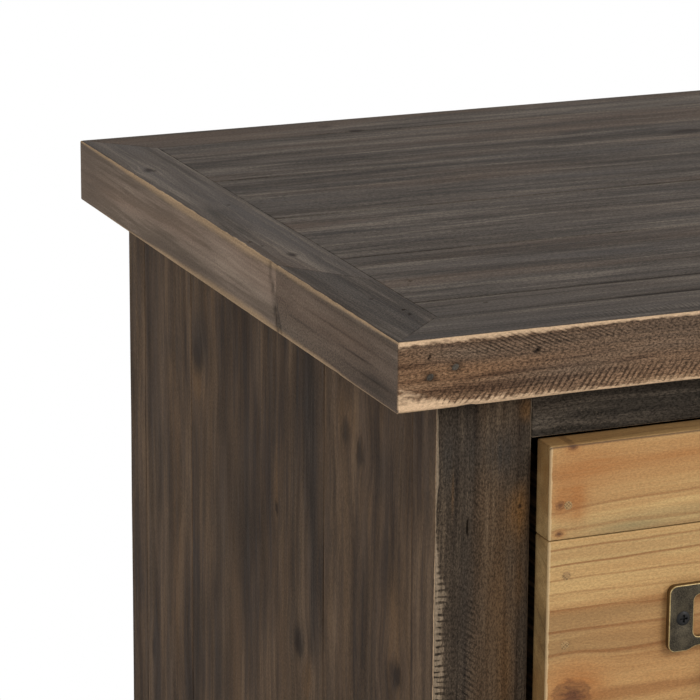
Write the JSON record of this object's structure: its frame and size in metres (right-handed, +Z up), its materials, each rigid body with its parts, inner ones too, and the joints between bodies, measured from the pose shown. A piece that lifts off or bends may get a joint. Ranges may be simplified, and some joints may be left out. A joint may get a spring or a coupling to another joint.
{
  "type": "drawer unit",
  "caption": "Low rustic pine drawer unit with a framed plank top, dark plank carcass on short stile feet, and proud natural drawers on wooden runners with label-holder pulls.",
  "frame": {"origin": "on the floor, under the middle of the overall box", "axes": "+Z up, +X to the right seen from the front, drawers open towards -Y"},
  "size_m": [0.56, 0.383, 0.439],
  "materials": {
    "dark_pine": "dark stained, rubbed edges",
    "natural_pine": "waxed",
    "drawer_box_pine": "raw sawn",
    "inner_pine": "raw sawn",
    "antique_brass": "darkened, worn edges",
    "black_steel": "black",
    "nail_iron": "dull"
  },
  "bodies": {
    "carcass": {"back_boards": "dark_pine", "base_panel": "inner_pine", "bottom_rail": "dark_pine", "centre_partition": "inner_pine", "centre_stile": "dark_pine", "drawer_runners": "inner_pine", "drawer_stops": "inner_pine", "kickers": "inner_pine", "left_front_stile": "dark_pine", "left_middle_rail": "dark_pine", "left_rear_stile": "dark_pine", "left_side_plank_1": "dark_pine", "left_side_plank_2": "dark_pine", "left_side_plank_3": "dark_pine", "right_front_stile": "dark_pine", "right_middle_rail": "dark_pine", "right_rear_stile": "dark_pine", "right_side_plank_1": "dark_pine", "right_side_plank_2": "dark_pine", "right_side_plank_3": "dark_pine", "top_battens": "inner_pine", "top_border_back": "dark_pine", "top_border_front": "dark_pine", "top_border_left": "dark_pine", "top_border_right": "dark_pine", "top_plank_1": "dark_pine", "top_plank_2": "dark_pine", "top_plank_3": "dark_pine", "top_plank_4": "dark_pine", "top_plank_5": "dark_pine", "top_rail": "dark_pine", "top_screws": "black_steel"},
    "upper_left_drawer": {"upper_left_drawer_back": "drawer_box_pine", "upper_left_drawer_bottom": "drawer_box_pine", "upper_left_drawer_front": "natural_pine", "upper_left_drawer_label_pull": "antique_brass", "upper_left_drawer_nails": "nail_iron", "upper_left_drawer_pull_screws": "black_steel", "upper_left_drawer_sides": "drawer_box_pine"},
    "upper_right_drawer": {"upper_right_drawer_back": "drawer_box_pine", "upper_right_drawer_bottom": "drawer_box_pine", "upper_right_drawer_front": "natural_pine", "upper_right_drawer_label_pull": "antique_brass", "upper_right_drawer_nails": "nail_iron", "upper_right_drawer_pull_screws": "black_steel", "upper_right_drawer_sides": "drawer_box_pine"},
    "lower_left_drawer": {"lower_left_drawer_back": "drawer_box_pine", "lower_left_drawer_bottom": "drawer_box_pine", "lower_left_drawer_front": "natural_pine", "lower_left_drawer_label_pull": "antique_brass", "lower_left_drawer_nails": "nail_iron", "lower_left_drawer_pull_screws": "black_steel", "lower_left_drawer_sides": "drawer_box_pine"},
    "lower_right_drawer": {"lower_right_drawer_back": "drawer_box_pine", "lower_right_drawer_bottom": "drawer_box_pine", "lower_right_drawer_front": "natural_pine", "lower_right_drawer_label_pull": "antique_brass", "lower_right_drawer_nails": "nail_iron", "lower_right_drawer_pull_screws": "black_steel", "lower_right_drawer_sides": "drawer_box_pine"}
  },
  "joints": [
    {"name": "upper_left_drawer_slide", "type": "slide", "parent": "carcass", "child": "upper_left_drawer", "axis": [0, -1, 0], "range_m": [0, 0.22]},
    {"name": "upper_right_drawer_slide", "type": "slide", "parent": "carcass", "child": "upper_right_drawer", "axis": [0, -1, 0], "range_m": [0, 0.22]},
    {"name": "lower_left_drawer_slide", "type": "slide", "parent": "carcass", "child": "lower_left_drawer", "axis": [0, -1, 0], "range_m": [0, 0.22]},
    {"name": "lower_right_drawer_slide", "type": "slide", "parent": "carcass", "child": "lower_right_drawer", "axis": [0, -1, 0], "range_m": [0, 0.22]}
  ]
}
